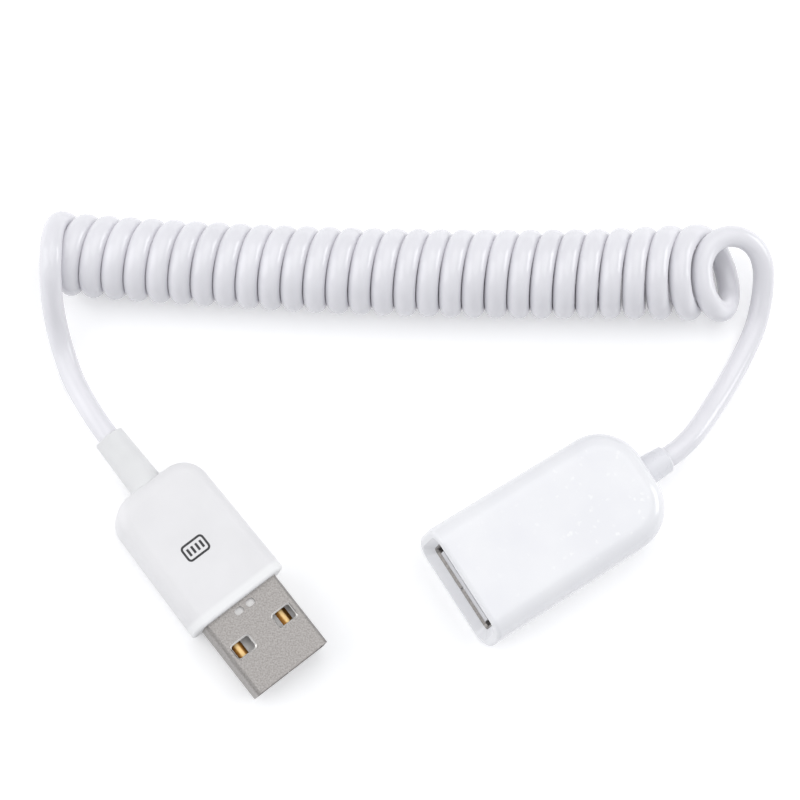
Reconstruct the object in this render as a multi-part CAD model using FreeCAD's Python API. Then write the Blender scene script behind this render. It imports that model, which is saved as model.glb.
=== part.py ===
# Curly extension lead: a flat four-pin plug, a coiled cord and the matching socket, lying at rest.
# Millimetres, +Z up, the floor is z = 0 and the origin lies midway between plug and socket.
import FreeCAD
import Part
import math
import os

Vector = FreeCAD.Vector

# Cord: round jacket, four conductors, wound into a curly coil between two free leads.
cord_diameter = 3.0
wire_diameter = 0.9
wire_bundle_offset = 0.6
coil_diameter = 12.0

# Fits: moulded pieces on the cord and on the metal shells.
cord_fit = 0.05
shell_fit = 0.05
insulator_fit = 0.05

# Cuts run this far past the faces that they open, and edges are picked to this closeness.
cut_overrun = 1.0
same_place = 0.001

# Four contacts side by side, an outer and an inner pair.
outer_pair_spacing = 7.0
inner_pair_spacing = 2.0
contact_width = 1.0
contact_thickness = 0.25

# Plug, from the cord towards its nose.
plug_relief_length = 8.4
plug_relief_end_diameter = 4.3
plug_relief_root_diameter = 4.8
plug_relief_bevel = 0.1
plug_rear_wall = 2.4
plug_flange_thickness = 1.2
plug_flange_width = 8.0
plug_wire_room = 8.0
plug_tail_length = 2.2
plug_shell_embed = 6.5
plug_shell_exposed = 11.5
plug_shell_width = 12.0
plug_shell_height = 4.5
plug_shell_sheet = 0.3
plug_shell_bend = 0.6
plug_side_wall = 1.5
plug_rear_narrowing = 0.9
plug_top_wall = 1.45
plug_corner_round = 3.8
plug_edge_round = 1.8
plug_lip_round = 0.45
plug_window_length = 2.0
plug_window_width = 2.8
plug_window_round = 0.35
plug_window_bevel = 0.22
plug_window_spacing = 7.0
plug_window_from_nose = 6.3
plug_slot_width = 0.95
plug_slot_length = 1.3
plug_slot_bridge = 0.6
plug_slot_round = 0.4
plug_slot_from_housing = 0.55
plug_seam_gap = 0.12
plug_seam_key_head = 2.4
plug_seam_key_waist = 1.44
plug_seam_key_depth = 1.2
plug_insulator_base = 8.3
plug_tongue_thickness = 1.95
plug_tongue_setback = 0.9
plug_tongue_side_gap = 0.3
plug_power_contact_width = 1.6
plug_contact_crown = 0.15
plug_contact_proud = 0.16
plug_contact_setback = 1.6
plug_inner_contact_step = 1.0
plug_contact_nose = 0.6

# Socket, from the cord towards its mouth.
socket_relief_length = 3.9
socket_relief_end_diameter = 3.9
socket_relief_root_diameter = 4.3
socket_relief_bevel = 0.35
socket_rear_wall = 3.6
socket_flange_thickness = 1.2
socket_flange_width = 8.0
socket_wire_room = 8.3
socket_tail_length = 2.3
socket_shell_length = 15.1
socket_mouth_depth = 0.95
socket_mouth_lean = 5.0
socket_mouth_flare_side = 1.1
socket_mouth_flare_height = 0.9
socket_opening_width = 12.5
socket_opening_height = 5.12
socket_shell_sheet = 0.3
socket_shell_bend = 0.7
socket_shell_flare = 0.2
socket_shell_flare_depth = 0.4
socket_seam_gap = 0.2
socket_side_wall = 2.45
socket_rear_narrowing = 0.7
socket_top_wall = 1.84
socket_corner_round = 6.5
socket_edge_round = 3.0
socket_lip_round = 0.6
socket_finger_length = 5.0
socket_finger_width = 1.8
socket_finger_slit = 0.35
socket_finger_spacing = 6.4
socket_finger_from_mouth = 2.2
socket_insulator_base = 5.2
socket_tongue_thickness = 1.84
socket_tongue_width = 11.1
socket_tongue_floor_gap = 0.64
socket_tongue_setback = 0.25
socket_contact_bow = 0.75
socket_contact_setback = 0.9
socket_contact_root = 1.4
socket_contact_bow_from_tip = 2.0

# Where each connector lies: the middle of its cord entry on the floor plan, and the way it points.
plug_entry = (-38.37, 16.47)
plug_heading = -51.2
socket_entry = (39.13, 15.94)
socket_heading = 213.2

# Free cord: plan and height of each route point, chosen by hand; the ends join coil and connectors.
coil_route = [(-43.0, 41.0), (1.7, 40.25), (47.7, 42.8)]
lead_coil_offset = 4.4
lead_coil_rise = 0.6
plug_lead_first_run = 2.8
plug_lead_route = [(-47.7, 43.5, 5.9), (-47.4, 38.8, 3.6), (-46.0, 32.4, 1.7), (-43.9, 26.2, 1.8)]
plug_lead_straight = 3.7
socket_lead_first_run = 3.8
socket_lead_route = [(53.9, 44.2, 5.2), (54.1, 39.0, 2.9), (51.3, 31.9, 1.7), (46.4, 23.9, 2.9)]
socket_lead_straight = 3.4
route_arc_share = 0.45

# Sizes that follow from those above.
pair_sides = [outer_pair_spacing / 2, inner_pair_spacing / 2]
contact_sides = pair_sides + [-side for side in reversed(pair_sides)]
wire_names = ["red", "white", "green", "black"]

plug_cavity_x = plug_relief_length + plug_rear_wall
plug_jacket_x = plug_cavity_x + plug_flange_thickness
plug_tail_x = plug_jacket_x + plug_wire_room
plug_shell_x = plug_tail_x + plug_tail_length
plug_front_x = plug_shell_x + plug_shell_embed
plug_nose_x = plug_front_x + plug_shell_exposed
plug_height = plug_shell_height + 2 * plug_top_wall
plug_front_width = plug_shell_width + 2 * plug_side_wall
plug_rear_width = plug_front_width - plug_rear_narrowing
plug_inner_width = plug_shell_width - 2 * plug_shell_sheet
plug_inner_height = plug_shell_height - 2 * plug_shell_sheet
plug_tongue_bottom = -plug_inner_height / 2 + insulator_fit
plug_tongue_top = plug_tongue_bottom + plug_tongue_thickness
plug_contact_top = plug_tongue_top + plug_contact_proud

socket_cavity_x = socket_relief_length + socket_rear_wall
socket_jacket_x = socket_cavity_x + socket_flange_thickness
socket_tail_x = socket_jacket_x + socket_wire_room
socket_shell_x = socket_tail_x + socket_tail_length
socket_shell_front_x = socket_shell_x + socket_shell_length
socket_front_x = socket_shell_front_x + socket_mouth_depth
socket_shell_width = socket_opening_width + 2 * socket_shell_sheet
socket_shell_height = socket_opening_height + 2 * socket_shell_sheet
socket_height = socket_shell_height + 2 * socket_top_wall
socket_front_width = socket_shell_width + 2 * socket_side_wall
socket_rear_width = socket_front_width - socket_rear_narrowing
socket_tongue_bottom = socket_tongue_floor_gap - socket_opening_height / 2
socket_tongue_top = socket_tongue_bottom + socket_tongue_thickness

along = Vector(1, 0, 0)
across = Vector(0, 1, 0)
upward = Vector(0, 0, 1)


def block(x_start, x_end, width, bottom, top):
    """A plain bar along X, centred on the connector's middle plane."""
    return Part.makeBox(x_end - x_start, width, top - bottom, Vector(x_start, -width / 2, bottom))


def rounded_bar(x_start, x_end, width, height, radius):
    """A bar along X with its four long edges rounded, centred on the axis."""
    bar = block(x_start, x_end, width, -height / 2, height / 2)
    return bar.makeFillet(radius, edges_along(bar, along))


def rod(x_start, x_end, diameter):
    """A round bar on the connector's axis."""
    return Part.makeCylinder(diameter / 2, x_end - x_start, Vector(x_start, 0, 0), along)


def strip(profile, side, width):
    """A sheet-metal strip: an XZ outline given width across the connector."""
    corners = [Vector(x, side - width / 2, z) for x, z in profile]
    face = Part.Face(Part.makePolygon(corners + corners[:1]))
    return face.extrude(Vector(0, width, 0))


def crowned_bar(x_start, x_end, side, width, bottom, top, crown):
    """A bar along X whose upper face is arched across its width."""
    low_right = Vector(x_start, side - width / 2, bottom)
    low_left = Vector(x_start, side + width / 2, bottom)
    high_left = Vector(x_start, side + width / 2, top - crown)
    high_right = Vector(x_start, side - width / 2, top - crown)
    edges = [
        Part.LineSegment(low_right, low_left).toShape(),
        Part.LineSegment(low_left, high_left).toShape(),
        Part.Arc(high_left, Vector(x_start, side, top), high_right).toShape(),
        Part.LineSegment(high_right, low_right).toShape(),
    ]
    return Part.Face(Part.Wire(edges)).extrude(along * (x_end - x_start))


def edges_at(shape, test):
    """The edges of a shape whose middle point passes a test."""
    return [edge for edge in shape.Edges if test(edge.CenterOfMass)]


def edges_along(shape, direction):
    """The edges of a shape that run along a direction rather than across it."""
    picked = []
    for edge in shape.Edges:
        way = edge.tangentAt(edge.FirstParameter)
        if abs(way.dot(direction)) > way.cross(direction).Length:
            picked.append(edge)
    return picked


def tapered_slab(x_rear, x_front, rear_width, front_width, height):
    """A slab along X that widens evenly towards its front."""
    corners = [
        Vector(x_rear, -rear_width / 2, -height / 2),
        Vector(x_front, -front_width / 2, -height / 2),
        Vector(x_front, front_width / 2, -height / 2),
        Vector(x_rear, rear_width / 2, -height / 2),
    ]
    face = Part.Face(Part.makePolygon(corners + corners[:1]))
    return face.extrude(Vector(0, 0, height))


def moulded_case(x_rear, x_front, rear_width, front_width, height, corner_round, edge_round):
    """A flat casing: round corners at the cord in plan, soft edges above and below, a plain front."""
    body = tapered_slab(x_rear, x_front, rear_width, front_width, height)
    body = body.makeFillet(corner_round, edges_at(
        body, lambda mid: abs(mid.x - x_rear) < same_place and abs(mid.z) < same_place))
    flat_limit = height / 2 - same_place
    return body.makeFillet(edge_round, edges_at(
        body, lambda mid: abs(mid.z) > flat_limit and mid.x < x_front - same_place))


def round_front(shape, face_place, radius):
    """Round the rim of the flat front face that lies in the YZ plane of a place."""
    into_face = face_place.inverse()
    return shape.makeFillet(radius, edges_at(shape, lambda mid: abs(into_face.multVec(mid).x) < same_place))


def opening_outline(width, height, radius, place):
    """The rounded outline of an opening, in the YZ plane of a place."""
    bar = rounded_bar(0, cut_overrun, width, height, radius)
    rims = [face for face in bar.Faces if abs(face.CenterOfMass.x) < same_place]
    outline = rims[0].OuterWire
    outline.Placement = place
    return outline


def upright_place(x):
    """A place across the connector's axis."""
    return FreeCAD.Placement(Vector(x, 0, 0), FreeCAD.Rotation())


def strain_relief(
        x_wall, x_cavity, x_end, end_diameter, root_diameter, end_bevel, flange_width, flange_height):
    """Soft tapered sleeve through the rear wall, held inside by a flat flange."""
    outline = [
        Vector(0, 0, 0),
        Vector(0, end_diameter / 2 - end_bevel, 0),
        Vector(end_bevel, end_diameter / 2, 0),
        Vector(x_wall, root_diameter / 2, 0),
        Vector(x_cavity, root_diameter / 2, 0),
        Vector(x_cavity, 0, 0),
    ]
    face = Part.Face(Part.makePolygon(outline + outline[:1]))
    sleeve = face.revolve(Vector(0, 0, 0), along, 360)
    flange = block(x_cavity, x_end, flange_width, -flange_height / 2, flange_height / 2)
    bore = rod(-cut_overrun, x_end + cut_overrun, cord_diameter + 2 * cord_fit)
    return sleeve.fuse(flange).cut(bore).removeSplitter()


def wire_path(points):
    """A path of straight runs joined by tangent arcs, each as large as its two runs allow."""
    edges = []
    radii = []
    start = points[0]
    for before, corner, after in zip(points, points[1:], points[2:]):
        run_in = (before - corner).Length
        run_out = (after - corner).Length
        back = (before - corner).normalize()
        ahead = (after - corner).normalize()
        half_turn = (math.pi - back.getAngle(ahead)) / 2
        tangent = route_arc_share * min(run_in, run_out)
        radius = tangent / math.tan(half_turn)
        middle_way = (back + ahead).normalize()
        arc_in = corner + back * tangent
        arc_out = corner + ahead * tangent
        arc_middle = corner + middle_way * (radius / math.cos(half_turn) - radius)
        edges.append(Part.LineSegment(start, arc_in).toShape())
        edges.append(Part.Arc(arc_in, arc_middle, arc_out).toShape())
        radii.append(radius)
        start = arc_out
    edges.append(Part.LineSegment(start, points[-1]).toShape())
    return Part.Wire(edges), radii


def tube(points, diameter):
    """A round solid along a path; gives the solid, its path's length and its arcs' radii."""
    path, radii = wire_path(points)
    first_way = points[1] - points[0]
    ring = Part.Wire(Part.makeCircle(diameter / 2, points[0], first_way))
    return path.makePipeShell([ring], True, False), path.Length, radii


def conductor(x_jacket, x_tail, bundle_side, bundle_height, side, height):
    """One insulated wire, straight from the jacket's end to its contact's tail and cut flush there."""
    start = Vector(x_jacket, bundle_side, bundle_height)
    run = Vector(x_tail, side, height) - start
    spare = run * (wire_diameter / run.x)
    wire = Part.makeCylinder(wire_diameter / 2, (run + spare * 2).Length, start - spare, run)
    reach = 2 * (abs(side) + wire_diameter)
    return wire.common(block(x_jacket, x_tail, reach, -reach, reach))


def conductors(x_jacket, x_tail, height):
    """The four wires: the outer pair leaves the jacket above the inner pair."""
    wires = {}
    bundle_heights = [wire_bundle_offset, -wire_bundle_offset, -wire_bundle_offset, wire_bundle_offset]
    for colour, side, bundle_height in zip(wire_names, contact_sides, bundle_heights):
        bundle_side = math.copysign(wire_bundle_offset, side)
        wires[colour] = conductor(x_jacket, x_tail, bundle_side, bundle_height, side, height)
    return wires


def plug_housing():
    """Hard casing: wider towards the nose, round shoulders at the cord, a tunnel for the shell."""
    body = moulded_case(
        plug_relief_length, plug_front_x, plug_rear_width, plug_front_width, plug_height, plug_corner_round,
        plug_edge_round)
    body = round_front(body, upright_place(plug_front_x), plug_lip_round)
    tunnel = rounded_bar(
        plug_cavity_x, plug_front_x + cut_overrun, plug_shell_width + 2 * shell_fit,
        plug_shell_height + 2 * shell_fit, plug_shell_bend + shell_fit)
    entry = rod(0, plug_cavity_x + cut_overrun, plug_relief_root_diameter + 2 * shell_fit)
    return body.cut(tunnel).cut(entry)


def plug_window(side, top):
    """A rounded window through the shell's upper or lower wall."""
    x_start = plug_nose_x - plug_window_from_nose - plug_window_length / 2
    base = 0 if top else -plug_shell_height
    cutter = Part.makeBox(
        plug_window_length, plug_window_width, plug_shell_height,
        Vector(x_start, side - plug_window_width / 2, base))
    return cutter.makeFillet(plug_window_round, edges_along(cutter, upward))


def on_window_rim(mid):
    """Whether the middle of an edge lies on a window's outer rim, where the punch leaves a bevel."""
    x_window = plug_nose_x - plug_window_from_nose
    outside = abs(abs(mid.z) - plug_shell_height / 2) < same_place
    beside = abs(abs(mid.y) - plug_window_spacing / 2) < plug_window_width / 2 + same_place
    return outside and beside and abs(mid.x - x_window) < plug_window_length / 2 + same_place


def plug_slot(side):
    """One rounded half of the divided slot beside the housing."""
    x_start = plug_front_x + plug_slot_from_housing
    cutter = Part.makeBox(
        plug_slot_width, plug_slot_length, plug_shell_height,
        Vector(x_start, side - plug_slot_length / 2, 0))
    return cutter.makeFillet(plug_slot_round, edges_along(cutter, upward))


def plug_seam():
    """The joint line of the folded sheet under the shell, with one interlocking key."""
    x_key = (plug_front_x + plug_nose_x) / 2
    head = plug_seam_key_head / 2
    waist = plug_seam_key_waist / 2
    line = [
        (plug_shell_x - cut_overrun, 0),
        (x_key - waist, 0),
        (x_key - head, plug_seam_key_depth),
        (x_key + head, plug_seam_key_depth),
        (x_key + waist, 0),
        (plug_nose_x + cut_overrun, 0),
    ]
    slits = []
    for (x_start, y_start), (x_end, y_end) in zip(line, line[1:]):
        length = math.hypot(x_end - x_start, y_end - y_start)
        slit = Part.makeBox(
            length + plug_seam_gap, plug_seam_gap, plug_shell_height,
            Vector(-plug_seam_gap / 2, -plug_seam_gap / 2, -plug_shell_height))
        turn = math.degrees(math.atan2(y_end - y_start, x_end - x_start))
        slit.rotate(Vector(0, 0, 0), Vector(0, 0, 1), turn)
        slit.translate(Vector(x_start, y_start, 0))
        slits.append(slit)
    return slits[0].fuse(slits[1:])


def plug_shell():
    """Folded nickel-plated sheet: windows above and below, the divided slot and the seam."""
    shell = rounded_bar(plug_shell_x, plug_nose_x, plug_shell_width, plug_shell_height, plug_shell_bend)
    inside = rounded_bar(
        plug_shell_x - cut_overrun, plug_nose_x + cut_overrun, plug_inner_width, plug_inner_height,
        plug_shell_bend - plug_shell_sheet)
    shell = shell.cut(inside)
    for side in (-plug_window_spacing / 2, plug_window_spacing / 2):
        shell = shell.cut(plug_window(side, True))
        shell = shell.cut(plug_window(side, False))
    shell = shell.makeChamfer(plug_window_bevel, edges_at(shell, on_window_rim))
    slot_side = (plug_slot_length + plug_slot_bridge) / 2
    for side in (-slot_side, slot_side):
        shell = shell.cut(plug_slot(side))
    return shell.cut(plug_seam())


def plug_contact(number):
    """Arched gold-plated strip: solder tail behind, bare top on the tongue, its nose turned down.

    The outer two carry the power: they reach further forward and are wider towards the outside.
    """
    side = contact_sides[number]
    x_nose = plug_nose_x - plug_tongue_setback - plug_contact_setback
    width = contact_width
    if abs(side) < max(contact_sides):
        x_nose = x_nose - plug_inner_contact_step
    else:
        width = plug_power_contact_width
    middle = side + math.copysign((width - contact_width) / 2, side)
    top = plug_contact_top
    bottom = top - contact_thickness
    dip = plug_contact_nose
    profile = [
        (plug_tail_x, bottom),
        (x_nose - dip, bottom),
        (x_nose, bottom - dip),
        (x_nose + dip / 2, bottom - dip / 2),
        (x_nose - dip / 2, top),
        (plug_tail_x, top),
    ]
    bar = crowned_bar(plug_tail_x, x_nose + dip, middle, width, bottom - dip, top, plug_contact_crown)
    return strip(profile, middle, width).common(bar)


def plug_insulator(contacts):
    """Moulded block in the shell's rear with the tongue that carries the contacts."""
    base = rounded_bar(
        plug_shell_x, plug_shell_x + plug_insulator_base, plug_inner_width - 2 * insulator_fit,
        plug_inner_height - 2 * insulator_fit, plug_shell_bend - plug_shell_sheet)
    tongue = block(
        plug_shell_x + plug_insulator_base - cut_overrun, plug_nose_x - plug_tongue_setback,
        plug_inner_width - 2 * plug_tongue_side_gap, plug_tongue_bottom, plug_tongue_top)
    body = base.fuse(tongue).removeSplitter()
    for contact in contacts:
        body = body.cut(contact)
    return body


def inner_mould(x_cavity, x_jacket, x_shell, width, height, bend, flange_width, flange_height, buried):
    """Filling behind the shell: it seals the solder joints and backs the strain relief's flange."""
    body = rounded_bar(x_cavity, x_shell, width, height, bend)
    recess = block(x_cavity - cut_overrun, x_jacket, flange_width, -flange_height / 2, flange_height / 2)
    body = body.cut(recess)
    for piece in buried:
        body = body.cut(piece)
    return body


def build_plug():
    """All pieces of the plug in its own frame: X from the cord to the nose, the axis on X."""
    flange_height = plug_shell_height - 2 * shell_fit
    contacts = [plug_contact(number) for number in range(4)]
    wire_height = plug_contact_top - contact_thickness / 2
    wires = conductors(plug_jacket_x, plug_tail_x, wire_height)
    pieces = {
        "plug_housing": plug_housing(),
        "plug_strain_relief": strain_relief(
            plug_relief_length, plug_cavity_x, plug_jacket_x, plug_relief_end_diameter,
            plug_relief_root_diameter, plug_relief_bevel, plug_flange_width, flange_height),
        "plug_shell": plug_shell(),
        "plug_insulator": plug_insulator(contacts),
        "plug_inner_mould": inner_mould(
            plug_cavity_x, plug_jacket_x, plug_shell_x, plug_shell_width, plug_shell_height, plug_shell_bend,
            plug_flange_width, flange_height, contacts + list(wires.values())),
    }
    for number, contact in enumerate(contacts):
        pieces["plug_contact_%d" % (number + 1)] = contact
    for colour, wire in wires.items():
        pieces["plug_wire_%s" % colour] = wire
    return pieces


def mouth_place():
    """The place of the mouth's face, which leans back: its upper edge lies nearer to the cord."""
    return FreeCAD.Placement(Vector(socket_front_x, 0, 0), FreeCAD.Rotation(across, -socket_mouth_lean))


def socket_housing():
    """Glossy casing: a flat oval with a leaning face, and a funnel that leads the plug in."""
    body = moulded_case(
        socket_relief_length, socket_front_x + socket_height, socket_rear_width, socket_front_width,
        socket_height, socket_corner_round, socket_edge_round)
    beyond_face = block(0, 2 * socket_height, 2 * socket_front_width, -socket_height, socket_height)
    beyond_face.Placement = mouth_place()
    body = round_front(body.cut(beyond_face), mouth_place(), socket_lip_round)
    hole_width = socket_shell_width + 2 * shell_fit
    hole_height = socket_shell_height + 2 * shell_fit
    hole_bend = socket_shell_bend + shell_fit
    tunnel = rounded_bar(socket_cavity_x, socket_shell_front_x, hole_width, hole_height, hole_bend)
    shell_front = opening_outline(hole_width, hole_height, hole_bend, upright_place(socket_shell_front_x))
    face_rim = opening_outline(
        hole_width + 2 * socket_mouth_flare_side, hole_height + 2 * socket_mouth_flare_height,
        hole_bend + socket_mouth_flare_height, mouth_place())
    funnel = Part.makeLoft([shell_front, face_rim], True, True)
    entry = rod(0, socket_cavity_x + cut_overrun, socket_relief_root_diameter + 2 * shell_fit)
    return body.cut(tunnel).cut(funnel).cut(entry)


def finger_slits(side, top):
    """The three-sided cut that frees one spring finger in the shell's wall."""
    x_front = socket_shell_front_x - socket_finger_from_mouth
    x_root = x_front - socket_finger_length
    width = socket_finger_width + 2 * socket_finger_slit
    base = 0 if top else -socket_shell_height
    window = Part.makeBox(
        socket_finger_length + socket_finger_slit, width, socket_shell_height,
        Vector(x_root, side - width / 2, base))
    finger = Part.makeBox(
        socket_finger_length + cut_overrun, socket_finger_width, socket_shell_height,
        Vector(x_root - cut_overrun, side - socket_finger_width / 2, base))
    return window.cut(finger)


def socket_shell():
    """Folded sheet sleeve: a flared front, spring fingers above and below, a seam along the floor."""
    shell = rounded_bar(
        socket_shell_x, socket_shell_front_x, socket_shell_width, socket_shell_height, socket_shell_bend)
    inside = rounded_bar(
        socket_shell_x - cut_overrun, socket_shell_front_x + cut_overrun, socket_opening_width,
        socket_opening_height, socket_shell_bend - socket_shell_sheet)
    inner_bend = socket_shell_bend - socket_shell_sheet
    flare_start = opening_outline(
        socket_opening_width, socket_opening_height, inner_bend,
        upright_place(socket_shell_front_x - socket_shell_flare_depth))
    flare_end = opening_outline(
        socket_opening_width + 2 * socket_shell_flare, socket_opening_height + 2 * socket_shell_flare,
        inner_bend + socket_shell_flare, upright_place(socket_shell_front_x))
    seam = block(
        socket_shell_x - cut_overrun, socket_shell_front_x + cut_overrun, socket_seam_gap,
        -socket_shell_height, 0)
    shell = shell.cut(inside).cut(Part.makeLoft([flare_start, flare_end], True, True)).cut(seam)
    for side in (-socket_finger_spacing / 2, socket_finger_spacing / 2):
        shell = shell.cut(finger_slits(side, True))
        shell = shell.cut(finger_slits(side, False))
    return shell


def socket_contact(side):
    """Spring contact: solder tail, a straight root on the tongue, a bow into the gap, a tucked tip."""
    low = socket_tongue_top - contact_thickness
    x_base = socket_shell_x + socket_insulator_base
    x_root = x_base + socket_contact_root
    x_tip = socket_shell_front_x - socket_tongue_setback - socket_contact_setback
    x_bow = x_tip - socket_contact_bow_from_tip
    crest = socket_tongue_top + socket_contact_bow
    profile = [
        (socket_tail_x, low),
        (x_root, low),
        (x_bow, crest - contact_thickness),
        (x_tip, low),
        (x_tip, low + contact_thickness),
        (x_bow, crest),
        (x_root, low + contact_thickness),
        (socket_tail_x, low + contact_thickness),
    ]
    return strip(profile, side, contact_width)


def socket_insulator(contacts):
    """Moulded block in the shell's rear, with the tongue under the gap that takes the plug."""
    base = rounded_bar(
        socket_shell_x, socket_shell_x + socket_insulator_base, socket_opening_width - 2 * insulator_fit,
        socket_opening_height - 2 * insulator_fit, socket_shell_bend - socket_shell_sheet)
    tongue = block(
        socket_shell_x + socket_insulator_base - cut_overrun, socket_shell_front_x - socket_tongue_setback,
        socket_tongue_width, socket_tongue_bottom, socket_tongue_top)
    body = base.fuse(tongue).removeSplitter()
    for contact in contacts:
        body = body.cut(contact)
    return body


def build_socket():
    """All pieces of the socket in its own frame: X from the cord to the mouth, the axis on X."""
    flange_height = socket_shell_height - 2 * shell_fit
    contacts = [socket_contact(side) for side in contact_sides]
    wire_height = socket_tongue_top - contact_thickness / 2
    wires = conductors(socket_jacket_x, socket_tail_x, wire_height)
    pieces = {
        "socket_housing": socket_housing(),
        "socket_strain_relief": strain_relief(
            socket_relief_length, socket_cavity_x, socket_jacket_x, socket_relief_end_diameter,
            socket_relief_root_diameter, socket_relief_bevel, socket_flange_width, flange_height),
        "socket_shell": socket_shell(),
        "socket_insulator": socket_insulator(contacts),
        "socket_inner_mould": inner_mould(
            socket_cavity_x, socket_jacket_x, socket_shell_x, socket_shell_width, socket_shell_height,
            socket_shell_bend, socket_flange_width, flange_height, contacts + list(wires.values())),
    }
    for number, contact in enumerate(contacts):
        pieces["socket_contact_%d" % (number + 1)] = contact
    for colour, wire in wires.items():
        pieces["socket_wire_%s" % colour] = wire
    return pieces


def lying(entry, heading, height):
    """The place of a connector that lies flat on the floor."""
    turn = FreeCAD.Rotation(upward, heading)
    return FreeCAD.Placement(Vector(entry[0], entry[1], height / 2), turn)


def lead_points(coil_end, coil_neighbour, first_run, route, place, straight, x_jacket):
    """A lead's route from the coil's end face to the jacket's end inside its connector."""
    outward = (coil_end - coil_neighbour).normalize()
    rearward = upward.cross(outward)
    if rearward.y < 0:
        rearward = rearward * -1
    start = coil_end + rearward * lead_coil_offset + upward * lead_coil_rise
    points = [start, start + outward * first_run]
    points += [Vector(*point) for point in route]
    points.append(place.multVec(Vector(-straight, 0, 0)))
    points.append(place.multVec(Vector(x_jacket, 0, 0)))
    return points


def report_tube(name, solid, length, radii, diameter):
    """Print a cord solid's arcs and compare its volume with its section times its length."""
    expected = math.pi * diameter ** 2 / 4 * length
    print("%s: length %.1f, radii %s, volume over section x length %.4f" % (
        name, length, [round(radius, 1) for radius in radii], solid.Volume / expected))


plug_place = lying(plug_entry, plug_heading, plug_height)
socket_place = lying(socket_entry, socket_heading, socket_height)
nodes = {}
for pieces, place in ((build_plug(), plug_place), (build_socket(), socket_place)):
    for name, shape in pieces.items():
        shape.Placement = place.multiply(shape.Placement)
        nodes[name] = shape

coil_points = [Vector(x, y, coil_diameter / 2) for x, y in coil_route]
plug_lead = lead_points(
    coil_points[0], coil_points[1], plug_lead_first_run, plug_lead_route, plug_place, plug_lead_straight,
    plug_jacket_x)
socket_lead = lead_points(
    coil_points[-1], coil_points[-2], socket_lead_first_run, socket_lead_route, socket_place,
    socket_lead_straight, socket_jacket_x)
for name, points, diameter in (
        ("coil", coil_points, coil_diameter),
        ("lead_plug", plug_lead, cord_diameter),
        ("lead_socket", socket_lead, cord_diameter)):
    nodes[name], length, radii = tube(points, diameter)
    report_tube(name, nodes[name], length, radii, diameter)

os.makedirs("parts", exist_ok=True)
for name, shape in nodes.items():
    shape.exportStep("parts/%s.step" % name)
print(len(nodes), "pieces")
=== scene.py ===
# %% [markdown]
# # A curly extension lead
# A plug with a bare metal nose, a curly cord and a socket lie on a table. The hard pieces come ready made
# from the imported model, each in its own place. What is left for Blender is the cord with its real turns, a
# small printed sign, the finish of every surface, the light and the camera.
# What is added may hardly grow past it.

# %% Load the imported model
import math

import bmesh
import bpy
from mathutils import Matrix, Vector


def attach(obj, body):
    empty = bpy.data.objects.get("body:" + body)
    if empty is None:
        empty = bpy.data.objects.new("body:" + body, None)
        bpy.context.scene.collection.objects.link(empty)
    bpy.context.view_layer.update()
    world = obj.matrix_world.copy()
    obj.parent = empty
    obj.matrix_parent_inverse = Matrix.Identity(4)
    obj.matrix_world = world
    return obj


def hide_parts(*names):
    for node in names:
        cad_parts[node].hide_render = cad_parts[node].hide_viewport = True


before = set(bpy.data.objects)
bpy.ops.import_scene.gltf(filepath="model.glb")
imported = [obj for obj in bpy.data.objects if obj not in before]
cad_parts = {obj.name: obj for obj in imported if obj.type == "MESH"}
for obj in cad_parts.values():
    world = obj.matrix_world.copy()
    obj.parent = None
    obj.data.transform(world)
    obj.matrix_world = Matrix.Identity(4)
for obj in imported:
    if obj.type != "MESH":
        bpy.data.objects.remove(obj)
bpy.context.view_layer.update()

mm = 0.001


print("pieces loaded:", len(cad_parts))

# %% [markdown]
# The camera looks down almost upright, from a little to the front and to the plug's side. A long lens from
# nearly half a metre keeps the two connectors in proportion, as a product picture does.
# Blender's own tracking would turn the picture, since it keeps world Z upright. So we build the camera's
# three axes by hand, with the table's Y direction pointing up in the picture.

# %% Camera
camera_target = Vector((2.25, 23.99, 0)) * mm
camera_distance = 420 * mm
camera_tilt = math.radians(16)
camera_turn = math.radians(33)
camera_lens_mm = 135.5

flat_way = Vector((-math.sin(camera_turn), -math.cos(camera_turn), 0))
towards_camera = flat_way * math.sin(camera_tilt) + Vector((0, 0, math.cos(camera_tilt)))
picture_right = Vector((0, 1, 0)).cross(towards_camera).normalized()
picture_up = towards_camera.cross(picture_right)
camera_axes = Matrix((picture_right, picture_up, towards_camera)).transposed().to_4x4()
camera_place = Matrix.Translation(camera_target + towards_camera * camera_distance)

camera_data = bpy.data.cameras.new("studio_camera")
camera_data.lens = camera_lens_mm
camera = bpy.data.objects.new("studio_camera", camera_data)
camera.matrix_world = camera_place @ camera_axes
bpy.context.scene.collection.objects.link(camera)
bpy.context.scene.camera = camera
print("camera at", [round(value, 3) for value in camera.location])

# %% [markdown]
# A curly cord is a straight cord that was wound on a rod and warmed until it kept its turns. We draw it as
# one smooth NURBS curve with a round bevel, from the end of its jacket in the plug to the one in the socket.
# The turns need an axis to run around. It is a gentle curve of its own, and we read points from it
# instead of from a straight line, so that the coil swings in plan as the real one does. Its height comes
# later, from the turns.

# %% The coil's axis
coil_route = [(-46.5, 41.6, 0), (1.7, 39.3, 0), (49.25, 43.05, 0)]


def nurbs_curve(name, points, radii=None):
    """A curve object with one open, smooth NURBS spline; points and radii are in millimetres."""
    curve = bpy.data.curves.new(name, "CURVE")
    curve.dimensions = "3D"
    spline = curve.splines.new("NURBS")
    spline.points.add(len(points) - 1)
    for number, control in enumerate(spline.points):
        control.co = (*(Vector(points[number]) * mm), 1)
        control.radius = radii[number] * mm if radii else 0
    spline.order_u = 3
    spline.use_endpoint_u = True
    return bpy.data.objects.new(name, curve)


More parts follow.
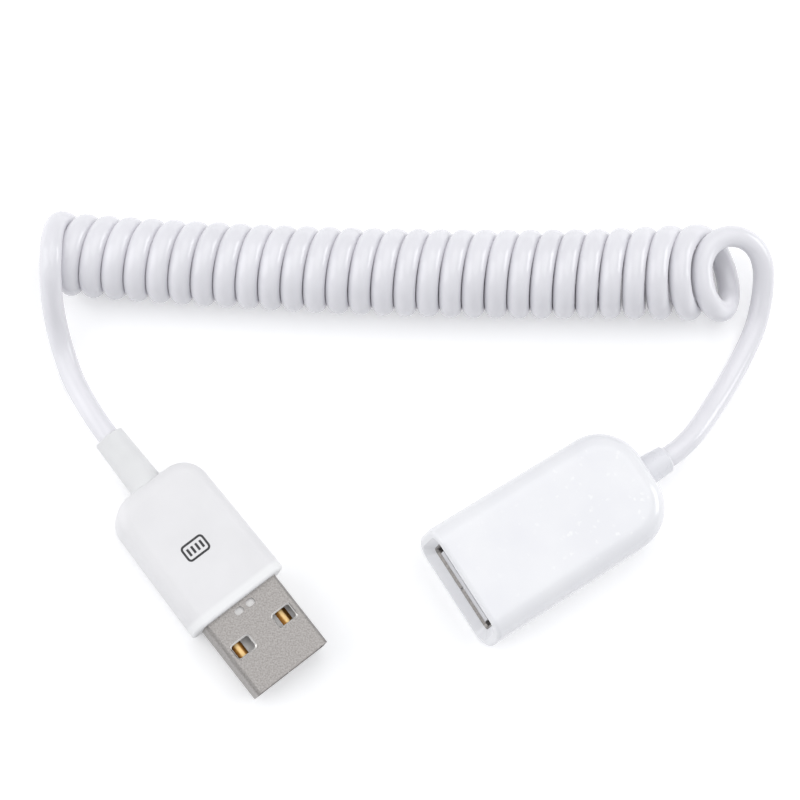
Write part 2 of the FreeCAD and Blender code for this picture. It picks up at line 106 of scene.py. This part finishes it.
def points_on(curve_object):
    """The points that the smooth curve runs through, in millimetres."""
    mesh = bpy.data.meshes.new_from_object(curve_object)
    points = [vertex.co / mm for vertex in mesh.vertices]
    bpy.data.meshes.remove(mesh)
    return points


def length_along(points):
    """The length of the way through the points."""
    return sum((end - start).length for start, end in zip(points, points[1:]))


axis_object = nurbs_curve("coil_axis", coil_route)
axis_object.data.resolution_u = 24
axis_points = points_on(axis_object)
axis_points.sort(key=lambda point: -point.x)
bpy.data.objects.remove(axis_object)


def axis_place(distance):
    """The point of the axis at a distance from its socket end, and the way towards that end."""
    for start, end in zip(axis_points, axis_points[1:]):
        length = (end - start).length
        if distance <= length:
            break
        distance -= length
    return start.lerp(end, distance / length), (start - end).normalized()


print("axis points:", len(axis_points), "length in mm:", round(length_along(axis_points), 1))

# %% [markdown]
# Each turn rises at the back, crosses over the top and goes down at the front. The rings lean, with their
# tops towards the plug, and they are turned a little in plan. The last one at the socket leans most because
# the lead pulls it open, and that end is also wound wider and looser.
# The turns lie on the table, so the axis is as high as a leaning ring needs. A quadratic NURBS only touches
# the middles of its outline's edges, so the outline is drawn a little larger than the ring.

# %% The coil's turns
turn_count = 28
points_per_turn = 16

# In millimetres, at the coil's two ends. Between them the cord's thickness, the rings and their spacing
# change evenly; the last turns at the socket get the extras.
coil_cord_plug = 3.05
coil_cord_socket = 3.17
ring_radius_plug = 4.17
ring_radius_socket = 4.9
ring_radius_extra = 0.65
pitch_plug = 3.0
pitch_socket = 3.29
pulled_open = 3.38
open_turns = 6
lean_main = math.radians(20)
lean_extra = math.radians(35)
ring_yaw = math.radians(6.2)


def coil_cord_radius(turn):
    """Half the cord's thickness in the coil: the turns touch, so it follows their spacing."""
    return (coil_cord_socket + (coil_cord_plug - coil_cord_socket) * turn / turn_count) / 2


def ring_point(turn):
    """The outline's point on the helix; turn counts from the socket's end and may be a fraction."""
    openness = max(0, 1 - turn / open_turns)
    along = pitch_plug * turn + (pitch_socket - pitch_plug) * (turn - turn ** 2 / (2 * turn_count))
    middle, way = axis_place(along + pulled_open * (1 - openness ** 3))
    radius = ring_radius_socket + (ring_radius_plug - ring_radius_socket) * turn / turn_count
    radius += ring_radius_extra * openness ** 2
    lean = lean_main + lean_extra * openness ** 3
    way.rotate(Matrix.Rotation(-ring_yaw, 3, "Z"))
    backward = Vector((-way.y, way.x, 0))
    upward = Vector((0, 0, math.cos(lean))) - way * math.sin(lean)
    middle.z = radius * math.cos(lean) + coil_cord_radius(turn)
    angle = 2 * math.pi * turn
    ring = backward * math.cos(angle) + upward * math.sin(angle)
    return middle + ring * radius / math.cos(math.pi / points_per_turn)


# A whole number is a ring's back, and a quarter more is its top: the plug's lead comes in at a back, and
# the socket's lead leaves close to a top.
last_turn = 29.0
first_turn = 0.3125
step_count = round((last_turn - first_turn) * points_per_turn)
turns = [last_turn + (first_turn - last_turn) * step / step_count for step in range(step_count + 1)]
coil_points = [ring_point(turn) for turn in turns]
print("coil points:", len(coil_points))

# %% [markdown]
# The two leads lie loose. Each leaves its connector straight, drops to the table and climbs to the coil. The
# plug's lead comes over the shoulder of the turn beside it, and the socket's lead bows out of the open one.
# Their points are listed along the real cord, evenly spaced where it bends, because a quadratic curve
# kinks where a short edge meets a long one. One more point in each sleeve keeps it in the middle of the bore.

# %% The leads
plug_lead = [
    (-30.851, 7.118, 3.7), (-35.8, 13.275, 3.7), (-40.1, 18.7, 3.6), (-43.2, 24.6, 1.5), (-44.2, 27.4, 1.5),
    (-45.1, 29.8, 2.2), (-45.9, 32.1, 4.0), (-46.5, 34.1, 6.4), (-46.9, 36.0, 8.8), (-47.1, 37.9, 10.4),
    (-47.1, 40.0, 10.9), (-47.0, 42.2, 10.2), (-46.5, 44.5, 8.8), (-45.6, 45.7, 7.1),
]
socket_lead = [
    (43.65, 43.3, 8.8), (44.8, 45.8, 8.8), (47.1, 47.4, 8.4), (49.8, 47.6, 7.8), (52.1, 46.6, 6.8),
    (53.5, 44.6, 5.6), (53.9, 42.1, 4.2), (53.8, 39.0, 2.7), (53.0, 35.3, 1.5), (50.2, 29.8, 1.5),
    (46.5, 24.0, 2.6), (41.975, 17.802, 4.7), (36.62, 14.3, 4.7), (31.85, 11.176, 4.7),
]
print("lead points:", len(plug_lead), "and", len(socket_lead))

# %% [markdown]
# Leads and coil become one curve, as the real cord is one piece. A curve's bevel is multiplied by the radius
# of each control point. So the bevel is 1, and the radii say how thick the cord is: a little more in the
# coil than in the leads, so that no gaps open between the turns.
# The length is read from the curve before it gets its bevel, while it is still a bare line.

# %% The whole cord
cord_diameter = 3.0
plug_exit = Vector((-38.37, 16.47, 3.7))

lead_radius = cord_diameter / 2
radii = [lead_radius] * len(plug_lead) + [coil_cord_radius(turn) for turn in turns]
radii += [lead_radius] * len(socket_lead)
cord = nurbs_curve("curly_cord", plug_lead + coil_points + socket_lead, radii)
cord.data.resolution_u = 4
cord_length = length_along(points_on(cord)) * mm
cord.data.bevel_depth = 1
cord.data.bevel_resolution = 8
cord.data.use_fill_caps = True
bpy.context.scene.collection.objects.link(cord)

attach(cord, "root")
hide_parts("lead_plug", "coil", "lead_socket")
print("cord length in mm:", round(cord_length / mm))

# %% [markdown]
# The plug's top carries a small printed sign. Ours is a plain one of our own: a rounded frame with four
# bars, as one sees the four contacts in an opening. It could be an image or a pattern in the material, but
# as a thin layer of ink it keeps sharp edges at any size. A grid of one face is rounded at its corners,
# inset, and its middle taken out; the bars are four more grids. All faces are then raised by the ink's
# thickness.

# %% The printed sign
plug_heading = math.radians(-51.2)
sign_middle = (-26.62, 0.82, 7.4)
sign_width = 3.7
sign_height = 2.5
corner_radius = 0.6
corner_segments = 6
border_width = 0.3
bar_width = 0.34
bar_height = 1.1
bar_offsets = (-1.05, -0.35, 0.35, 1.05)
ink_thickness = 0.02
unit_face = {"x_segments": 1, "y_segments": 1, "size": 0.5}

sign_shape = bmesh.new()
sign_size = Matrix.Diagonal((sign_height, sign_width, 1, 1))
bmesh.ops.create_grid(sign_shape, **unit_face, matrix=sign_size)
bmesh.ops.bevel(sign_shape, geom=sign_shape.verts[:], offset=corner_radius, offset_type="OFFSET",
                segments=corner_segments, profile=0.5, affect="VERTICES", material=-1)
border = bmesh.ops.inset_region(sign_shape, faces=sign_shape.faces[:], thickness=border_width,
                                use_boundary=True, use_even_offset=True)["faces"]
inner = [face for face in sign_shape.faces if face not in border]
bmesh.ops.delete(sign_shape, geom=inner, context="FACES")
for offset in bar_offsets:
    bar_place = Matrix.Translation((0, offset, 0)) @ Matrix.Diagonal((bar_height, bar_width, 1, 1))
    bmesh.ops.create_grid(sign_shape, **unit_face, matrix=bar_place)
raised = bmesh.ops.extrude_face_region(sign_shape, geom=sign_shape.faces[:], use_keep_orig=True)["geom"]
raised_verts = [item for item in raised if isinstance(item, bmesh.types.BMVert)]
bmesh.ops.translate(sign_shape, vec=(0, 0, ink_thickness), verts=raised_verts)
bmesh.ops.recalc_face_normals(sign_shape, faces=sign_shape.faces[:])
sign_place = Matrix.Translation(Vector(sign_middle) * mm) @ Matrix.Rotation(plug_heading, 4, "Z")
bmesh.ops.transform(sign_shape, matrix=sign_place @ Matrix.Scale(mm, 4), verts=sign_shape.verts[:])
sign_mesh = bpy.data.meshes.new("printed_sign")
sign_shape.to_mesh(sign_mesh)
sign_shape.free()
sign = bpy.data.objects.new("printed_sign", sign_mesh)
bpy.context.scene.collection.objects.link(sign)
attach(sign, "root")
print("sign faces:", len(sign_mesh.polygons))

# %% [markdown]
# Every finish is a Principled shader with a few nodes in front of it. Colours are written as on a screen and
# turned to linear light. One helper adds a node and wires it, so that each finish below reads as a list of
# what feeds what. Patterns use Object coordinates, which are metres here, so a pattern of a certain size in
# millimetres has a scale of one over that size.

# %% Helpers for finishes
# A Mix node has sockets of the same name for each kind of value. These are the numbers of its colours.
colour_a, colour_b, colour_out = 6, 7, 2


def linear(hex_colour):
    """The linear RGBA values of an sRGB hex colour."""
    shares = [int(hex_colour[place:place + 2], 16) / 255 for place in (1, 3, 5)]
    return [share / 12.92 if share <= 0.04045 else ((share + 0.055) / 1.055) ** 2.4 for share in shares] + [1]


def wire(tree, node, inputs):
    """Sets a node's inputs; an input that is another node's output is linked."""
    for name, value in inputs.items():
        if isinstance(value, bpy.types.NodeSocket):
            tree.links.new(value, node.inputs[name])
        else:
            node.inputs[name].default_value = value
    return node


def add_node(tree, kind, inputs, **settings):
    """A new node with its settings made and its inputs wired."""
    node = tree.nodes.new(kind)
    for name, value in settings.items():
        setattr(node, name, value)
    return wire(tree, node, inputs)


def start_finish(name, constants):
    """A new material with constants on its shader; also gives its tree, shader and object coordinates."""
    material = bpy.data.materials.new(name)
    material.use_nodes = True
    tree = material.node_tree
    shader = wire(tree, tree.nodes["Principled BSDF"], constants)
    place = add_node(tree, "ShaderNodeTexCoord", {}).outputs["Object"]
    return material, tree, shader, place


def scale_of(millimetres):
    """The scale of a pattern whose marks are this large."""
    return 1 / (millimetres * mm)


def place_along(tree, start, heading):
    """Object coordinates moved to start, in millimetres, with X turned along heading and Y across it."""
    place = add_node(tree, "ShaderNodeTexCoord", {}).outputs["Object"]
    return add_node(tree, "ShaderNodeMapping", {
        "Vector": place, "Location": Vector(start) * mm, "Rotation": (0, 0, heading)},
        vector_type="TEXTURE").outputs["Vector"]


def tint(material, share, hex_colour):
    """Lays a colour over a finish as far as share says."""
    tree = material.node_tree
    shader = tree.nodes["Principled BSDF"]
    plain_colour = shader.inputs["Base Color"].links[0].from_socket
    colour = add_node(tree, "ShaderNodeMix", {
        "Factor": share, colour_a: plain_colour, colour_b: linear(hex_colour)}, data_type="RGBA")
    wire(tree, shader, {"Base Color": colour.outputs[colour_out]})


print("helpers ready")

# %% [markdown]
# Moulded plastic is never quite even. The melt cools in faint clouds, and the mould's own texture is printed
# on the skin: fine and deep where the mould was spark-eroded, nearly none where it was polished. One helper
# makes them all: clouds move the colour a little, and a fine grain moves roughness and bump.
# A noise rarely goes far from its middle of 0.5, so we spread the part of it that it uses over the whole
# range.

# %% Moulded plastics of the casings
noise_low, noise_high = 0.35, 0.65
grain_low, grain_high = 0.3, 0.7


def moulded_plastic(name, pale, deep, cloud_mm, grain_mm, relief_mm, roughness, ior):
    """A plastic with clouds between two colours and a grain; roughness is a lowest and a highest value."""
    material, tree, shader, place = start_finish(name, {"IOR": ior})
    cloud = add_node(tree, "ShaderNodeTexNoise", {"Vector": place, "Scale": scale_of(cloud_mm), "Detail": 3})
    cloud_share = add_node(tree, "ShaderNodeMapRange", {
        "Value": cloud.outputs["Fac"], "From Min": noise_low, "From Max": noise_high})
    colour = add_node(tree, "ShaderNodeMix", {
        "Factor": cloud_share.outputs["Result"], colour_a: linear(pale), colour_b: linear(deep)},
        data_type="RGBA")
    grain = add_node(tree, "ShaderNodeTexNoise", {"Vector": place, "Scale": scale_of(grain_mm), "Detail": 2})
    dullness = add_node(tree, "ShaderNodeMapRange", {
        "Value": grain.outputs["Fac"], "From Min": grain_low, "From Max": grain_high,
        "To Min": roughness[0], "To Max": roughness[1]})
    skin = add_node(tree, "ShaderNodeBump", {"Height": grain.outputs["Fac"], "Distance": relief_mm * mm})
    wire(tree, shader, {"Base Color": colour.outputs[colour_out], "Roughness": dullness.outputs["Result"],
                        "Normal": skin.outputs["Normal"]})
    return material


# ABS from a spark-eroded mould: an even satin white that spreads the lamp's reflection. Its real grain of
# about 0.05 mm is drawn at 0.22 mm, because a pixel of the picture is 0.14 mm wide.
satin_abs = moulded_plastic("abs_spark_eroded", "#EBEAEB", "#E7E6E7", cloud_mm=7, grain_mm=0.22,
                            relief_mm=0.004, roughness=(0.36, 0.5), ior=1.53)

# ABS from a polished mould shines like porcelain, and only a slow wave bends its reflections.
polished_abs = moulded_plastic("abs_polished", "#F2F2F4", "#EEEEF1", cloud_mm=8, grain_mm=3,
                               relief_mm=0.008, roughness=(0.13, 0.19), ior=1.53)

# TPE moulded over the cord: soft, dull and a little darker than the hard casing. Its fine grain is drawn
# coarser in the same way.
soft_tpe = moulded_plastic("tpe_overmoulded", "#E8E8E8", "#E3E3E3", cloud_mm=4, grain_mm=0.25,
                           relief_mm=0.006, roughness=(0.5, 0.62), ior=1.5)

# Soft PVC sleeve from a polished mould: smooth, with a slight wave in its reflections.
sleeve_pvc = moulded_plastic("pvc_moulded_sleeve", "#ECECF0", "#E7E7EB", cloud_mm=5, grain_mm=1.4,
                             relief_mm=0.003, roughness=(0.24, 0.34), ior=1.53)
print("finishes:", [finish.name for finish in (satin_abs, polished_abs, soft_tpe, sleeve_pvc)])

# %% [markdown]
# The smaller plastics are the tongues in nose and mouth, the filling around the wires and the wires' skins.
# Little of them shows, but each has its own kind of plastic, so the same helper makes them with other values.

# %% Inner plastics
# PBT, the hard plastic of connector tongues: milky white, with short glass fibres that dull it.
tongue_look = {"cloud_mm": 1.6, "grain_mm": 0.3, "relief_mm": 0.006, "roughness": (0.4, 0.55), "ior": 1.57}
plug_pbt = moulded_plastic("pbt_moulded_milky", "#FAF8F6", "#F2F0EE", **tongue_look)
socket_pbt = moulded_plastic("pbt_moulded_white", "#DEDEE0", "#D4D4D8", **tongue_look)

# Natural PE that fills the casings around the wires: milky and waxy.
milky_pe = moulded_plastic("pe_inner_mould", "#E4E2DA", "#D8D5CB", cloud_mm=3, grain_mm=0.6,
                           relief_mm=0.01, roughness=(0.4, 0.55), ior=1.51)

# PVC skins of the four wires, extruded: strong plain colours with a soft shine.
wire_colours = {
    "red": ("#B8221F", "#A81D1B"), "white": ("#E6E5E1", "#DCDBD6"),
    "green": ("#25803A", "#1E7031"), "black": ("#222224", "#1B1B1D"),
}
wire_pvc = {
    colour: moulded_plastic("pvc_wire_" + colour, *shades, cloud_mm=2, grain_mm=0.4,
                            relief_mm=0.004, roughness=(0.3, 0.4), ior=1.53)
    for colour, shades in wire_colours.items()
}
print("finishes:", [finish.name for finish in (plug_pbt, socket_pbt, milky_pe, *wire_pvc.values())])

# %% [markdown]
# The cord's jacket is pressed through a die while it is hot, so it comes out smooth, without a mould's
# texture. The sign is ink that a soft pad laid down, which leaves it thin and not quite even.

# %% Cord and ink
# Extruded PVC: glossy, with a long slow wave that bends the reflections.
cord_pvc = moulded_plastic("pvc_extruded_cord", "#ECEBEF", "#E7E6EA", cloud_mm=9, grain_mm=2.5,
                           relief_mm=0.01, roughness=(0.12, 0.18), ior=1.53)
cord.data.materials.append(cord_pvc)

# Pad-printing ink: almost black and half dull.
print_ink = moulded_plastic("ink_pad_printed", "#2C2C2E", "#38383A", cloud_mm=0.8, grain_mm=0.3,
                            relief_mm=0.002, roughness=(0.4, 0.55), ior=1.5)
sign_mesh.materials.append(print_ink)
print("finishes:", [cord_pvc.name, print_ink.name])

# %% [markdown]
# The plug's casing ends in a lip around the metal nose. A paler band of about 1.4 mm runs along its front
# edge,
# which is a painted highlight: the shine of the rounded edge laid into the colour. The Mapping node in
# place_along turns the coordinates so that X runs along the plug, and the band starts at a certain X.

# %% Painted highlight on the plug's lip
plug_length = 28.7
lip_highlight_width = 1.4
lip_highlight_blend = 0.25
lip_highlight_start = plug_length - lip_highlight_width

tree = satin_abs.node_tree
along_plug = add_node(tree, "ShaderNodeSeparateXYZ", {"Vector": place_along(tree, plug_exit, plug_heading)})
lip_highlight_share = add_node(tree, "ShaderNodeMapRange", {
    "Value": along_plug.outputs["X"],
    "From Min": (lip_highlight_start - lip_highlight_blend) * mm, "From Max": (lip_highlight_start + lip_highlight_blend) * mm})
# The pale band along the front edge is a painted highlight, not a colour of the plastic.
tint(satin_abs, lip_highlight_share.outputs["Result"], "#F2F2F2")
print("lip band starts", round(lip_highlight_start, 1), "mm from the cord's entry")

# %% [markdown]
# The top of the socket's polished casing is strewn with faint pale flecks in its colour, mostly on the half
# towards the cord. A Voronoi pattern gives scattered round cells, and a fine noise shifts
# them about. Only their middles are kept, in the patches that a coarser noise picks.
# The Mapping node in place_along lays the pattern along the casing, so that the flecks can fade towards the
# mouth and stay on the flat top.

# %% Flecks on the socket
socket_heading = math.radians(213.2)
socket_entry = (39.13, 15.94, 0)

# Sizes and places are in millimetres, along the casing from the cord's entry and up from the table. Each
# edge is a pair of pattern values between which a fleck, or a patch of them, fades in.
fleck_spacing = 1.15
fleck_edge = (0.3, 0.16)
shift_by = 0.8
shift_size = 0.5
patch_size = 2.4
patch_edge = (0.44, 0.58)
# The flecks fade from full strength at 22 mm along the casing to a quarter at 32 mm, towards the mouth.
fleck_fade_end, fleck_fade_full = 32, 22
flecks_at_mouth = 0.25
top_from, top_full = 9.1, 9.35

tree = polished_abs.node_tree
casing_place = place_along(tree, socket_entry, socket_heading)
shift = add_node(tree, "ShaderNodeTexNoise", {"Vector": casing_place, "Scale": scale_of(shift_size)})
fleck_place = add_node(tree, "ShaderNodeVectorMath", {
    0: shift.outputs["Color"], 1: (shift_by * mm,) * 3, 2: casing_place}, operation="MULTIPLY_ADD")
cells = add_node(tree, "ShaderNodeTexVoronoi", {
    "Vector": fleck_place.outputs["Vector"], "Scale": scale_of(fleck_spacing)})
middles = add_node(tree, "ShaderNodeMapRange", {
    "Value": cells.outputs["Distance"], "From Min": fleck_edge[0], "From Max": fleck_edge[1]})
patches = add_node(tree, "ShaderNodeTexNoise", {
    "Vector": casing_place, "Scale": scale_of(patch_size), "Detail": 3})
in_patch = add_node(tree, "ShaderNodeMapRange", {
    "Value": patches.outputs["Fac"], "From Min": patch_edge[0], "From Max": patch_edge[1]})
along_casing = add_node(tree, "ShaderNodeSeparateXYZ", {"Vector": casing_place})
towards_cord = add_node(tree, "ShaderNodeMapRange", {
    "Value": along_casing.outputs["X"], "From Min": fleck_fade_end * mm, "From Max": fleck_fade_full * mm,
    "To Min": flecks_at_mouth})
on_top = add_node(tree, "ShaderNodeMapRange", {
    "Value": along_casing.outputs["Z"], "From Min": top_from * mm, "From Max": top_full * mm})
fleck_share = middles.outputs["Result"]
for limit in (in_patch, towards_cord, on_top):
    fleck_share = add_node(tree, "ShaderNodeMath", {
        0: fleck_share, 1: limit.outputs["Result"]}, operation="MULTIPLY").outputs["Value"]
tint(polished_abs, fleck_share, "#F7F7F8")
print("nodes in the polished casing:", len(tree.nodes))

# %% [markdown]
# The two shells are folded from steel sheet and plated with nickel. Plating over rolled sheet gives a dull,
# warm grey with a fine mottle, not a mirror. The contacts are bronze with a thin flash of gold.
# A metal's colour is the colour of its reflections, so both lean on roughness to look real.

# %% Metals


def plated_metal(name, pale, deep, mottle_mm, relief_mm, roughness):
    """A bare metal with a fine mottle in colour, roughness and bump."""
    material, tree, shader, place = start_finish(name, {"Metallic": 1})
    mottle = add_node(tree, "ShaderNodeTexNoise", {
        "Vector": place, "Scale": scale_of(mottle_mm), "Detail": 4})
    share = add_node(tree, "ShaderNodeMapRange", {
        "Value": mottle.outputs["Fac"], "From Min": noise_low, "From Max": noise_high})
    colour = add_node(tree, "ShaderNodeMix", {
        "Factor": share.outputs["Result"], colour_a: linear(pale), colour_b: linear(deep)},
        data_type="RGBA")
    dullness = add_node(tree, "ShaderNodeMapRange", {
        "Value": share.outputs["Result"], "To Min": roughness[0], "To Max": roughness[1]})
    skin = add_node(tree, "ShaderNodeBump", {"Height": mottle.outputs["Fac"], "Distance": relief_mm * mm})
    wire(tree, shader, {"Base Color": colour.outputs[colour_out], "Roughness": dullness.outputs["Result"],
                        "Normal": skin.outputs["Normal"]})
    return material


def flatness_of(tree):
    """1 where the surface lies flat, 0 where it stands upright."""
    facing = add_node(tree, "ShaderNodeTexCoord", {}).outputs["Normal"]
    facing_parts = add_node(tree, "ShaderNodeSeparateXYZ", {"Vector": facing})
    return add_node(tree, "ShaderNodeMath", {
        0: facing_parts.outputs["Z"]}, operation="ABSOLUTE").outputs["Value"]


# Nickel-plated steel sheet. Its real grain of about 0.1 mm is drawn at 0.22 mm, so that it shows as a mottle.
steel_look = {"pale": "#ACA8A5", "deep": "#96928F", "mottle_mm": 0.22, "relief_mm": 0.0006,
              "roughness": (0.38, 0.48)}
plated_steel = plated_metal("steel_nickel_plated", **steel_look)
print("metal ready:", plated_steel.name)

# %% [markdown]
# The edges around the windows in the plug's nose get a painted highlight, a pale tint for the shine they
# catch.
# They are where the surface slants, and nearer to the nose's middle than its folded long edges, which slant
# too. So the finish reads how flat the surface lies and how far it is from the nose's middle line.

# %% Painted highlight on the windows' edges
windows_within = 5  # mm on either side of the middle line
flat_from, flat_gone = 0.97, 0.88
upright_from, upright_gone = 0.4, 0.6

punched_steel_highlit = plated_metal("steel_nickel_punched_highlit", **steel_look)
tree = punched_steel_highlit.node_tree
nose_parts = add_node(tree, "ShaderNodeSeparateXYZ", {"Vector": place_along(tree, plug_exit, plug_heading)})
off_middle = add_node(tree, "ShaderNodeMath", {0: nose_parts.outputs["Y"]}, operation="ABSOLUTE")
near_middle = add_node(tree, "ShaderNodeMath", {
    0: off_middle.outputs["Value"], 1: windows_within * mm}, operation="LESS_THAN")
flatness = flatness_of(tree)
not_flat = add_node(tree, "ShaderNodeMapRange", {
    "Value": flatness, "From Min": flat_from, "From Max": flat_gone})
not_upright = add_node(tree, "ShaderNodeMapRange", {
    "Value": flatness, "From Min": upright_from, "From Max": upright_gone})
slanting = add_node(tree, "ShaderNodeMath", {
    0: not_flat.outputs["Result"], 1: not_upright.outputs["Result"]}, operation="MULTIPLY")
edge_highlight_share = add_node(tree, "ShaderNodeMath", {
    0: slanting.outputs["Value"], 1: near_middle.outputs["Value"]}, operation="MULTIPLY")
# The pale tint on the slanted edges near the middle is a painted highlight.
tint(punched_steel_highlit, edge_highlight_share.outputs["Value"], "#F6F4F1")
print("metal ready:", punched_steel_highlit.name)

# %% [markdown]
# The contacts are arched strips of bronze with a flash of gold. Along the crest of each, a paler tint is a
# painted highlight, the shine that the crest catches from above. The crest is the part that lies flattest.

# %% Gold contacts
crest_highlight_from, crest_highlight_full = 0.986, 0.997

# Gold over rolled strip: warm, with faint rolling marks, drawn coarser than they are.
gold_flash = plated_metal("bronze_gold_flash", "#B07E40", "#9C6A32", mottle_mm=0.35, relief_mm=0.0005,
                          roughness=(0.32, 0.4))
tree = gold_flash.node_tree
crest_highlight = add_node(tree, "ShaderNodeMapRange", {
    "Value": flatness_of(tree), "From Min": crest_highlight_from, "From Max": crest_highlight_full})
# The pale crest is a painted highlight.
tint(gold_flash, crest_highlight.outputs["Result"], "#E4C48C")
print("metal ready:", gold_flash.name)

# %% [markdown]
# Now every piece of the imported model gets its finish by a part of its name. The first row that fits counts.
# The last row fits any name: it is for the cord's plain solids, which our own cord hides.

# %% Finishes on the pieces
finishes = [
    ("plug_housing", satin_abs), ("socket_housing", polished_abs),
    ("plug_strain_relief", soft_tpe), ("socket_strain_relief", sleeve_pvc),
    ("plug_shell", punched_steel_highlit), ("socket_shell", plated_steel), ("contact", gold_flash),
    ("plug_insulator", plug_pbt), ("socket_insulator", socket_pbt), ("inner_mould", milky_pe),
]
finishes += [("wire_" + colour, material) for colour, material in wire_pvc.items()]
finishes.append(("", cord_pvc))
for name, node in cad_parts.items():
    finish = next(material for part, material in finishes if part in name)
    node.data.materials.clear()
    node.data.materials.append(finish)
print("finishes given to", len(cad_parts), "pieces")

# %% [markdown]
# The object lies on a wide sheet of white paper. Its picture has a white ground, but more light would wash
# out the white plastic. So the paper adds a little light of its own, only for rays that come straight from
# the camera, or from a shine that mirrors it. The soft shadows under the cord stay.

# %% The table
floor_reach_m = 3
paper_glow = 0.28
fibre_clouds_mm = 3

floor_mesh = bpy.data.meshes.new("table")
floor_shape = bmesh.new()
bmesh.ops.create_grid(floor_shape, x_segments=1, y_segments=1, size=floor_reach_m)
floor_shape.to_mesh(floor_mesh)
floor_shape.free()
floor = bpy.data.objects.new("table", floor_mesh)
bpy.context.scene.collection.objects.link(floor)


def seen_share(tree):
    """1 for rays from the camera, and for those that a shiny or clear surface sends on; 0 for the rest."""
    light_path = add_node(tree, "ShaderNodeLightPath", {})
    either = add_node(tree, "ShaderNodeMath", {
        0: light_path.outputs["Is Camera Ray"], 1: light_path.outputs["Is Glossy Ray"]},
        operation="MAXIMUM")
    return add_node(tree, "ShaderNodeMath", {
        0: either.outputs["Value"], 1: light_path.outputs["Is Transmission Ray"]},
        operation="MAXIMUM").outputs["Value"]


# Uncoated paper: matt, with faint clouds where its fibres lie closer.
paper, tree, shader, place = start_finish("paper_matt_white", {
    "Roughness": 0.9, "Emission Color": linear("#FFFFFF")})
fibres = add_node(tree, "ShaderNodeTexNoise", {
    "Vector": place, "Scale": scale_of(fibre_clouds_mm), "Detail": 4})
paper_colour = add_node(tree, "ShaderNodeMix", {
    "Factor": fibres.outputs["Fac"], colour_a: linear("#F3F3F3"), colour_b: linear("#EFEFF0")},
    data_type="RGBA")
glow = add_node(tree, "ShaderNodeMath", {0: seen_share(tree), 1: paper_glow}, operation="MULTIPLY")
wire(tree, shader, {"Base Color": paper_colour.outputs[colour_out],
                    "Emission Strength": glow.outputs["Value"]})
floor_mesh.materials.append(paper)
print("table is", 2 * floor_reach_m, "m wide")

# %% [markdown]
# The light is that of a small product studio. A large softbox hangs overhead, a little to the back and the
# right, where the flat tops mirror it. A smaller one stands low on the right and draws the white streak on
# each turn of the coil. A broad one on the left is so soft that it lifts the shaded flanks without a streak
# of its own. The sky is dim and a little blue and fills what is left.

# %% Light
sky_strength = 0.55
lamp_aim = Vector((0, 0.02, 0))

world = bpy.data.worlds.new("studio")
world.use_nodes = True
tree = world.node_tree
wire(tree, tree.nodes["Background"], {"Color": linear("#F5F7FB"), "Strength": sky_strength})
bpy.context.scene.world = world


def softbox(name, middle, width, height, watts):
    """A rectangular lamp that looks at the object; middle, width and height are in metres."""
    lamp_data = bpy.data.lights.new(name, "AREA")
    lamp_data.shape = "RECTANGLE"
    lamp_data.size = width
    lamp_data.size_y = height
    lamp_data.energy = watts
    lamp = bpy.data.objects.new(name, lamp_data)
    lamp.location = middle
    lamp.rotation_euler = (lamp_aim - lamp.location).to_track_quat("-Z", "Y").to_euler()
    bpy.context.scene.collection.objects.link(lamp)


softbox("overhead", (0.08, 0.2, 0.72), width=0.8, height=0.8, watts=2.1)
softbox("right", (0.58, 0.17, 0.2), width=0.34, height=0.26, watts=1.0)
softbox("left", (-0.56, 0.03, 0.34), width=0.6, height=0.6, watts=1.7)
bpy.context.scene.view_settings.view_transform = "Standard"
print("lamps:", len(bpy.data.lights))
